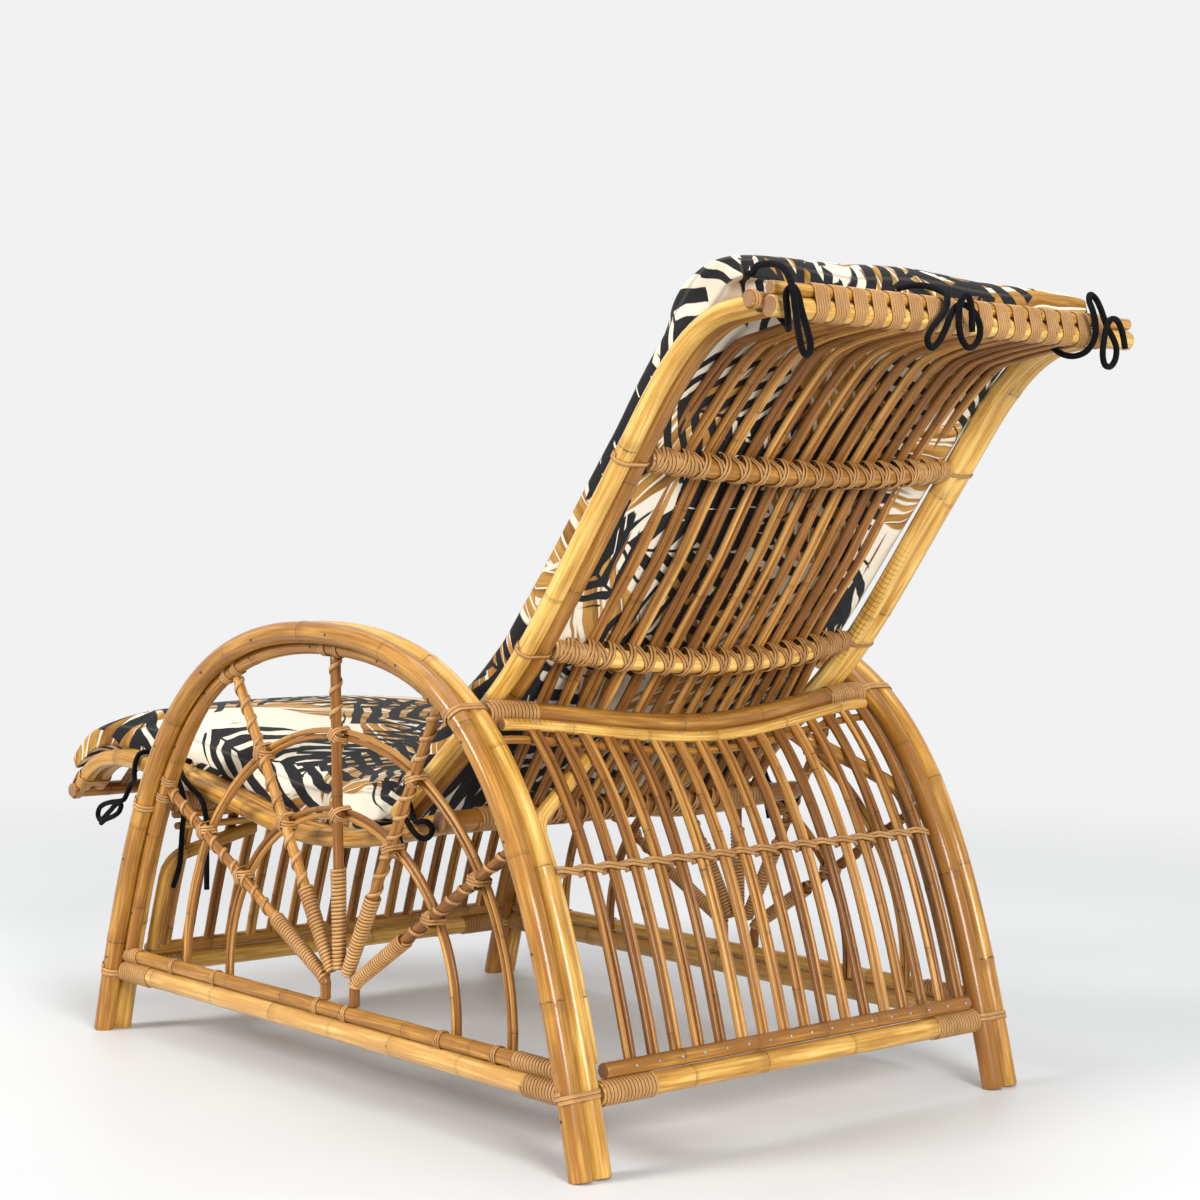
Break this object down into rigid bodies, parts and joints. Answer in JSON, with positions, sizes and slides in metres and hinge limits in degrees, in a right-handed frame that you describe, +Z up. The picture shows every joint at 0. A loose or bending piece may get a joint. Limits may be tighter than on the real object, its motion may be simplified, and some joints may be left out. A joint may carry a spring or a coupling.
{
  "type": "lounge chair",
  "caption": "Low rattan lounge chair with arched side frames, sunburst spokes, reclined rod back and one long printed pad cushion tied on with black cords.",
  "frame": {"origin": "on the floor, under the middle of the box round the chair without its cords", "axes": "+Z up, -Y to the front, +X to the sitter's left"},
  "size_m": [0.6806, 1.3366, 0.8973],
  "materials": {
    "pole": "glossy clear lacquer over honey-coloured rattan pole",
    "rod": "satin lacquer over thin brown rattan rod",
    "cane": "satin tan cane winding",
    "cloth": "printed cotton, cream ground with black and ochre",
    "cord": "matt black round cotton cord"
  },
  "bodies": {
    "root": {"left_arch_outer": "pole", "left_arch_inner": "pole", "left_arch_liner": "pole", "left_side_rail_lower": "pole", "left_side_rail_upper": "pole", "left_seat_rail_outer": "pole", "left_seat_rail_inner": "pole", "left_back_rail_outer": "pole", "left_back_rail_inner": "pole", "right_arch_outer": "pole", "right_arch_inner": "pole", "right_arch_liner": "pole", "right_side_rail_lower": "pole", "right_side_rail_upper": "pole", "right_seat_rail_outer": "pole", "right_seat_rail_inner": "pole", "right_back_rail_outer": "pole", "right_back_rail_inner": "pole", "back_grille": "pole", "top_rail_front": "pole", "top_rail_thin": "pole", "seat_deck": "pole", "junction_rail": "pole", "back_cross_lower": "pole", "back_cross_upper": "pole", "rear_top_rail": "pole", "rear_lower_rail": "pole", "rear_brace_left": "pole", "rear_brace_right": "pole", "front_top_rail": "pole", "front_lower_rail": "pole", "front_brace_left": "pole", "front_brace_right": "pole", "left_spoke_1": "rod", "left_spoke_2": "rod", "left_spoke_3": "rod", "left_spoke_4": "rod", "left_spoke_5": "rod", "right_spoke_1": "rod", "right_spoke_2": "rod", "right_spoke_3": "rod", "right_spoke_4": "rod", "right_spoke_5": "rod", "rear_grille": "rod", "front_grille": "rod", "left_ring_large": "cane", "left_ring_small": "cane", "right_ring_large": "cane", "right_ring_small": "cane", "top_rail_binding": "cane", "cushion": "cloth", "tie_top_left": "cord", "tie_top_middle": "cord", "tie_top_right": "cord", "tie_junction_left": "cord", "tie_junction_right": "cord", "tie_front_left": "cord", "tail_front": "cord", "tail_rear": "cord"}
  },
  "joints": []
}
